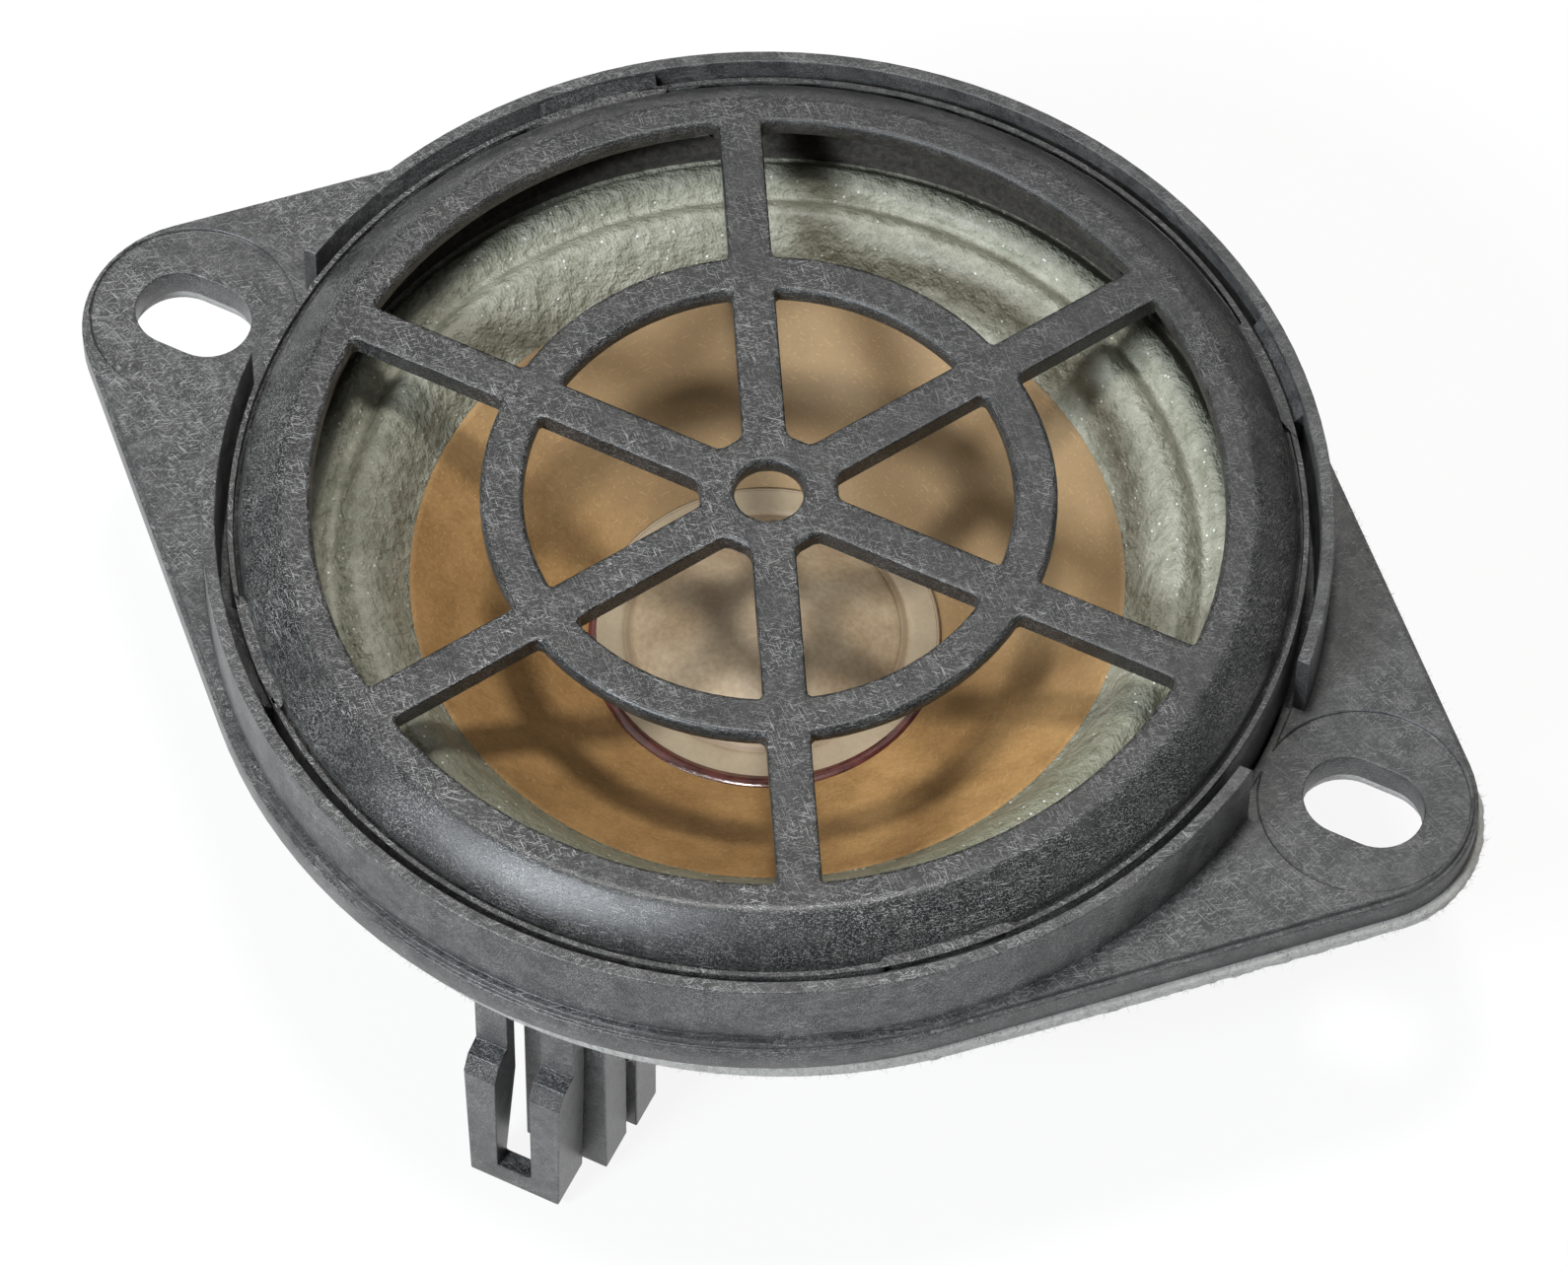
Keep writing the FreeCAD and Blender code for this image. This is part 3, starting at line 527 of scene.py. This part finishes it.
def flangeEdge(angle, s, grow):
    # distance from the axis to the flange's outline: the round body, the tangent or the ear's circle
    big, small, d = s["flangeR"] + grow, s["earR"] + grow, s["earX"]
    lean = math.acos((s["flangeR"] - s["earR"]) / d)
    a = np.abs(np.arctan2(np.sin(angle), np.abs(np.cos(angle))))
    touch = math.atan2(small * math.sin(lean), d + small * math.cos(lean))
    line = big / np.cos(a - lean)
    ear = d * np.cos(a) + np.sqrt(np.maximum(small**2 - (d * np.sin(a)) ** 2, 0))
    return np.where(a > lean, big, np.where(a < touch, ear, line))


def feltEdge(angle, s):
    # the flange's outline, with the felt lying a little to one side
    return flangeEdge(angle, s, s["over"]) + s["driftX"] * np.cos(angle) + s["driftY"] * np.sin(angle)


def makeGasket(s, felt):
    # a flat ring from the inner circle out to the flange's outline, with a ragged rounded edge
    angle = np.linspace(0, 2 * np.pi, s["steps"], endpoint=False)
    rng = np.random.default_rng(7)
    kernel = np.hanning(9) / np.hanning(9).sum()

    def rag(size):
        loose = rng.normal(0, size, s["steps"])
        return np.convolve(np.r_[loose[-4:], loose, loose[:4]], kernel, "valid")

    side = np.array(s["side"])
    r = s["inR"] + (feltEdge(angle, s) - s["inR"]) * side[:, :1]
    r[3:7] += np.stack([rag(s["rag"]) for _ in range(4)])
    gasket = lathe("felt_gasket", r, side[:, 1] * s["thick"], felt, s["steps"])
    straight = (s["slotLength"] - s["slotWidth"]) / 2
    half = s["slotWidth"] / 2 + s["slotGrow"]
    turn = np.linspace(-np.pi / 2, np.pi / 2, s["slotRows"])
    loopX = np.concatenate([straight + half * np.cos(turn), -straight - half * np.cos(turn)])
    loopY = np.concatenate([half * np.sin(turn), -half * np.sin(turn)])
    for way in (1, -1):
        wall = np.stack([np.stack([way * s["slotX"] + loopX, loopY, np.full(len(loopX), level)], -1)
                         for level in (-3 * mm, 1 * mm)])
        cutter = gridObject("slotCutter", wall, wrapV=True)
        closeEnds(cutter)
        cut = gasket.modifiers.new("slot", "BOOLEAN")
        cut.operation = "DIFFERENCE"
        cut.solver = "EXACT"
        cut.object = cutter
        applyModifiers(gasket)
        bpy.data.objects.remove(cutter)
    return gasket


def applyModifiers(obj):
    bpy.context.view_layer.update()
    shown = obj.evaluated_get(bpy.context.evaluated_depsgraph_get())
    made = bpy.data.meshes.new_from_object(shown)
    obj.modifiers.clear()
    old = obj.data
    obj.data = made
    bpy.data.meshes.remove(old)


def makeFuzz(s, f, felt):
    # short hairs that stand out of the felt's edge: three-sided tapered tubes, bent at random
    rng = np.random.default_rng(11)
    count = f["count"]
    angle = rng.uniform(0, 2 * np.pi, count)
    edge = feltEdge(angle, s)
    depth = rng.uniform(-0.98, -0.1, count) * s["thick"]
    start = np.stack([edge * np.cos(angle), edge * np.sin(angle), depth], -1)
    ahead = np.stack([np.cos(angle), np.sin(angle), np.zeros(count)], -1)
    along = np.stack([-np.sin(angle), np.cos(angle), np.zeros(count)], -1)
    reach = rng.uniform(*f["reach"], count)[:, None] * mm
    lean = rng.normal(0, 0.9, count)[:, None]
    rise = rng.normal(-0.1, 0.35, count)[:, None]
    t = np.linspace(0, 1, 4)[None, :, None]
    up = np.array([0, 0, 1.0])
    bent = ahead[:, None] * t + along[:, None] * lean[:, None] * t**1.6 + up * rise[:, None] * t**2
    spine = start[:, None] - ahead[:, None] * f["root"] + reach[:, None] * bent
    spine[..., 2] = np.clip(spine[..., 2], -s["thick"], -f["under"])
    thick = f["r"] * (1 - 0.7 * t)
    ring = np.linspace(0, 2 * np.pi, 3, endpoint=False)
    cross = (along[:, None, None] * np.cos(ring)[None, None, :, None]
             + up * np.sin(ring)[None, None, :, None])
    points = spine[:, :, None] + cross * thick[..., None]
    index = np.arange(count * 12).reshape(count, 4, 3)
    low, high = index[:, :-1], index[:, 1:]
    quads = np.stack([low, np.roll(low, -1, 2), np.roll(high, -1, 2), high], -1).reshape(-1, 4)
    caps = np.concatenate([index[:, 0, ::-1], index[:, -1]])
    mesh = bpy.data.meshes.new("felt_fuzz")
    mesh.from_pydata(points.reshape(-1, 3).tolist(), [], quads.tolist() + caps.tolist())
    mesh.materials.append(felt)
    fuzz = bpy.data.objects.new("felt_fuzz", mesh)
    bpy.context.scene.collection.objects.link(fuzz)
    return fuzz


felt = feltMaterial(feltLook)
gasket = makeGasket(gasketSize, felt)
fuzz = makeFuzz(gasketSize, fuzzSize, felt)
for piece in (gasket, fuzz):
    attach(piece, "frame")
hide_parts("mounting_gasket")
print("gasket made")


# Spider
spiderSize = dict(inR=10.4 * mm, neck=1.2 * mm, rolls=4, roll=2.5 * mm, rise=0.55 * mm,
                  outR=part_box("spider")[1][0], z=-12.5 * mm, thick=0.35 * mm, rows=80, sectors=8,
                  sectorRows=41)
spiderLook = dict(dark=(0.34, 0.22, 0.09), pale=(0.62, 0.46, 0.24), thread=0.42 * mm, cloud=2.5 * mm,
                  relief=0.08 * mm)


def spiderCloth(look):
    m = Shader("spiderCloth")
    x, y = m.axes()[:2]
    turn = 2 * math.pi / look["thread"]
    weave = (x * turn).sine() * (y * turn).sine()
    cloud = m.noise(look["cloud"], 3, 0.5)
    colour = m.mix(weave * 0.3 + cloud * 0.6, look["dark"], look["pale"])
    return m.surface({"Base Color": colour, "Roughness": 0.7 - cloud * 0.2,
                      "Normal": m.bump(weave, look["relief"], 0.9)})


def makeSpider(s):
    # sine corrugations between a flat neck and a flat outer edge, in equal sectors
    rollIn = s["inR"] + s["neck"]
    rollOut = rollIn + s["rolls"] * s["roll"]
    r = np.concatenate([[s["inR"]], np.linspace(rollIn, rollOut, s["rows"]), [s["outR"]]])
    wave = s["rise"] * np.sin(2 * np.pi * (r - rollIn) / s["roll"])
    z = s["z"] + s["thick"] + np.where((r > rollIn) & (r < rollOut), wave, 0)
    r, z = closedSkin(r, z, s["thick"])
    cloth = spiderCloth(spiderLook)
    wedge = 2 * np.pi / s["sectors"]
    pieces = []
    for i in range(s["sectors"]):
        angle = wedge * (i + np.linspace(-0.5, 0.5, s["sectorRows"]))
        level = np.repeat(z[:, None], len(angle), axis=1)
        points = np.stack([r[:, None] * np.cos(angle), r[:, None] * np.sin(angle), level], -1)
        piece = gridObject("spider_cloth_%d" % (i + 1), points, wrapU=True, material=cloth)
        closeEnds(piece)
        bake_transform(piece)
        pieces.append(piece)
    return pieces


for sector, spider in enumerate(makeSpider(spiderSize)):
    if sector == 0:
        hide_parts("spider")
print("spider made")


# The plain finishes of the inner pieces
innerLook = dict(boardPulp=0.5 * mm, boardDark=(0.035, 0.033, 0.030), boardPale=(0.10, 0.09, 0.075),
                 spot=1.2 * mm, wire=0.16 * mm, wireDark=(0.30, 0.10, 0.035), wirePale=(0.72, 0.33, 0.15),
                 tapePulp=0.4 * mm, tapeDark=(0.20, 0.12, 0.05), tapePale=(0.42, 0.29, 0.15),
                 strand=0.3 * mm, strandDark=(0.34, 0.15, 0.06), strandPale=(0.80, 0.50, 0.30),
                 cupEdge=0.3 * mm)


def pressedBoard(look):
    m = Shader("pressedBoard")
    pulp = m.noise(look["boardPulp"], 5, 0.75)
    colour = m.mix(pulp.step(0.3, 0.7), look["boardDark"], look["boardPale"])
    return m.surface({"Base Color": colour, "Roughness": 0.85, "Normal": m.bump(pulp, 0.05 * mm, 0.7)})


def brushedMetal(name, dark, pale, rough, stretch=(0.15, 0.15, 6.0)):
    m = Shader(name)
    at = m.mapped((0, 0, 0), tuple(v * mm for v in stretch))
    lines = m.make("TexNoise", {}, {"Vector": at, "Scale": 1.0, "Detail": 3.0})
    spots = m.noise(innerLook["spot"], 4, 0.6)
    colour = m.mix(lines * 0.6 + spots * 0.4, dark, pale)
    return m.surface({"Base Color": colour, "Metallic": 1.0, "Roughness": rough + spots * 0.2,
                      "Normal": m.bump(lines, 0.01 * mm, 0.4)})


def woundCopper(look):
    m = Shader("woundCopper")
    turns = (m.axes()[2] * (2 * math.pi / look["wire"])).sine()
    colour = m.mix(turns * 0.5 + 0.5, look["wireDark"], look["wirePale"])
    return m.surface({"Base Color": colour, "Metallic": 0.85, "Roughness": 0.32 + turns * 0.08,
                      "Normal": m.bump(turns, 0.05 * mm, 1.0)})


def kraftTape(look):
    m = Shader("kraftTape")
    pulp = m.noise(look["tapePulp"], 4, 0.7)
    colour = m.mix(pulp, look["tapeDark"], look["tapePale"])
    return m.surface({"Base Color": colour, "Roughness": 0.7, "Normal": m.bump(pulp, 0.03 * mm, 0.6)})


def braidedTinsel(look):
    m = Shader("braidedTinsel")
    y, z = m.axes()[1:]
    turn = 2 * math.pi / look["strand"]
    braid = ((y + z) * turn).sine() * ((y - z) * turn).sine()
    colour = m.mix(braid * 0.5 + 0.5, look["strandDark"], look["strandPale"])
    return m.surface({"Base Color": colour, "Metallic": 0.9, "Roughness": 0.4 - braid * 0.08,
                      "Normal": m.bump(braid, 0.06 * mm, 1.0)})


leadSize = dict(r=0.35 * mm, relief=0.035 * mm, strands=8, pitch=2.4 * mm, sides=40, rows=50,
                starts=dict(lead_positive=(2.95, -10.76), lead_negative=(0.95, -11.155)),
                route=[(-17.4, -8.9), (-20.2, -9.8), (-23.2, -9.8)], startZ=-10.65, firstRun=3.0)
# in leadSize, the starts, the route, startZ and firstRun are in mm


def makeLead(name, s, tinsel):
    # a braided tube along a smooth line from the coil's solder to the lug's; two opposed helices raise
    # its surface
    x, y = s["starts"][name]
    line = smoothLine([(y, s["startZ"]), (y - s["firstRun"], s["startZ"]), *s["route"]], s["rows"]) * mm
    step = np.gradient(line, axis=0)
    step /= np.linalg.norm(step, axis=1)[:, None]
    run = np.concatenate([[0], np.cumsum(np.linalg.norm(np.diff(line, axis=0), axis=1))])
    turn = np.linspace(0, 2 * np.pi, s["sides"], endpoint=False)
    phase = 2 * np.pi * run[:, None] / s["pitch"]
    braid = np.sin(s["strands"] / 2 * (turn + phase)) * np.sin(s["strands"] / 2 * (turn - phase))
    r = s["r"] - s["relief"] + s["relief"] * braid
    points = np.stack([x * mm + r * np.cos(turn), line[:, :1] - step[:, 1:] * r * np.sin(turn),
                       line[:, 1:] + step[:, :1] * r * np.sin(turn)], -1)
    first, last = [np.repeat([[x * mm, *line[i]]], s["sides"], axis=0)[None] for i in (0, -1)]
    closed = np.concatenate([first, points, last])
    lead = gridObject(name + "_braid", closed, wrapV=True, material=tinsel)
    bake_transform(lead)
    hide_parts(name)


board = pressedBoard(innerLook)
zinc = brushedMetal("zincSteel", (0.27, 0.28, 0.29), (0.48, 0.49, 0.50), 0.32)
nickel = brushedMetal("nickelMagnet", (0.5, 0.5, 0.5), (0.75, 0.75, 0.74), 0.2)
tin = brushedMetal("tinBlade", (0.55, 0.55, 0.54), (0.78, 0.78, 0.76), 0.25)
solder = brushedMetal("brightSolder", (0.5, 0.5, 0.52), (0.8, 0.8, 0.82), 0.2, (1, 1, 1))
foil = brushedMetal("rolledFoil", (0.6, 0.6, 0.62), (0.82, 0.82, 0.84), 0.3)
finishes = dict(clamp_ring=board, spider_ring=board, yoke_cup=zinc, pole_plate=zinc, magnet=nickel,
                terminal_positive=tin, terminal_negative=tin, coil_solder=solder, lug_solder=solder,
                coil_former=foil, coil_winding=woundCopper(innerLook),
                coil_band=kraftTape(innerLook))
for name, material in finishes.items():
    dress(name, material)
softenEdges(nodes["yoke_cup"], innerLook["cupEdge"])
tinsel = braidedTinsel(innerLook)
for name in leadSize["starts"]:
    makeLead(name, leadSize, tinsel)
print("inner pieces dressed")


# Floor, light and camera
stageSize = dict(floorZ=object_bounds()[0][2], floorHalf=3.0, grilleTop=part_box("grille")[1][2])
floorLook = dict(dark=(0.76, 0.76, 0.76), pale=(0.82, 0.82, 0.82), speck=6 * mm, white=0.9)
worldLook = dict(low=0.16, full=1.0)
lamps = dict(ceiling=dict(towards=(-0.24, 0.505, 0.83), size=(0.9, 0.8), power=2.3,
                          colour=(1.0, 0.985, 0.96)),
             window=dict(towards=(-0.24, -0.70, 0.67), size=(0.24, 0.18), power=9.8,
                         colour=(0.88, 0.94, 1.0)),
             overhead=dict(towards=(-0.05, 0.03, 1.0), size=(0.12, 0.12), power=5.6,
                           colour=(1.0, 0.99, 0.97)))


def makeFloor(s, look):
    # nearly white to the camera and to reflections, a plain pale floor to all other light
    m = Shader("paleFloor")
    colour = m.mix(m.noise(look["speck"], 3, 0.5), look["dark"], look["pale"])
    plain = m.make("BsdfPrincipled", {}, {"Base Color": colour, "Roughness": 0.9})
    white = m.make("Emission", {}, {"Color": (1, 1, 1), "Strength": 1.0})
    glossy = m.make("LightPath", {}, {}, out="Is Glossy Ray")
    seen = m.make("LightPath", {}, {}, out="Is Camera Ray").top(glossy)
    mixed = m.make("MixShader", {}, {0: seen * look["white"], 1: plain, 2: white})
    half = s["floorHalf"]
    corners = np.array([[(-half, -half, 0), (-half, half, 0)], [(half, -half, 0), (half, half, 0)]], float)
    corners[..., 2] = s["floorZ"]
    floor = gridObject("floor", corners, material=m.finish(mixed))


def softBox(name, towards, size, power, colour, distance=1.0):
    # an area lamp that stands in the given direction and faces the object
    lamp = bpy.data.lights.new(name, "AREA")
    lamp.shape = "RECTANGLE"
    lamp.size, lamp.size_y = size
    lamp.energy = power
    lamp.color = colour
    obj = bpy.data.objects.new(name, lamp)
    away = Vector(towards).normalized()
    obj.location = away * distance
    obj.rotation_euler = away.to_track_quat("Z", "Y").to_euler()
    bpy.context.scene.collection.objects.link(obj)


def makeWorld(look):
    # full white for the camera, a low level for the object
    m = Shader("studio", world=True)
    seen = m.make("LightPath", {}, {}, out="Is Camera Ray")
    level = m.make("MapRange", {}, {"Value": seen, "To Min": look["low"], "To Max": look["full"]})
    return m.finish(m.make("Background", {}, {"Color": (1, 1, 1), "Strength": level}))


makeFloor(stageSize, floorLook)
for name, lamp in lamps.items():
    softBox(name, **lamp)
bpy.context.scene.world = makeWorld(worldLook)
bpy.context.scene.view_settings.view_transform = "Standard"

cameraSize = dict(azimuth=25.4, elevation=56.03, distance=558.1 * mm, roll=1.016, yaw=0.124, pitch=1.006,
                  lens=186.28, sensor=36.0)


def makeCamera(s, target):
    # stand at the angles round the target, then turn by the small yaw, pitch and roll
    az, el = math.radians(s["azimuth"]), math.radians(s["elevation"])
    backward = Vector((math.sin(az) * math.cos(el), -math.cos(az) * math.cos(el), math.sin(el)))
    right = Vector((math.cos(az), math.sin(az), 0))
    up = backward.cross(right)
    axes = Matrix((right, up, backward))
    yaw = Matrix.Rotation(math.radians(s["yaw"]), 3, "Y")
    pitch = Matrix.Rotation(math.radians(s["pitch"]), 3, "X")
    roll = Matrix.Rotation(-math.radians(s["roll"]), 3, "Z")
    turned = (roll @ pitch @ yaw @ axes).transposed()
    lensData = bpy.data.cameras.new("photoCamera")
    lensData.lens = s["lens"]
    lensData.sensor_width = s["sensor"]
    lensData.clip_start = 0.01
    lensData.clip_end = 10
    camera = bpy.data.objects.new("photoCamera", lensData)
    camera.matrix_world = Matrix.Translation(target + backward * s["distance"]) @ turned.to_4x4()
    bpy.context.scene.collection.objects.link(camera)
    bpy.context.scene.camera = camera


makeCamera(cameraSize, Vector((0, 0, stageSize["grilleTop"])))
print("stage made")
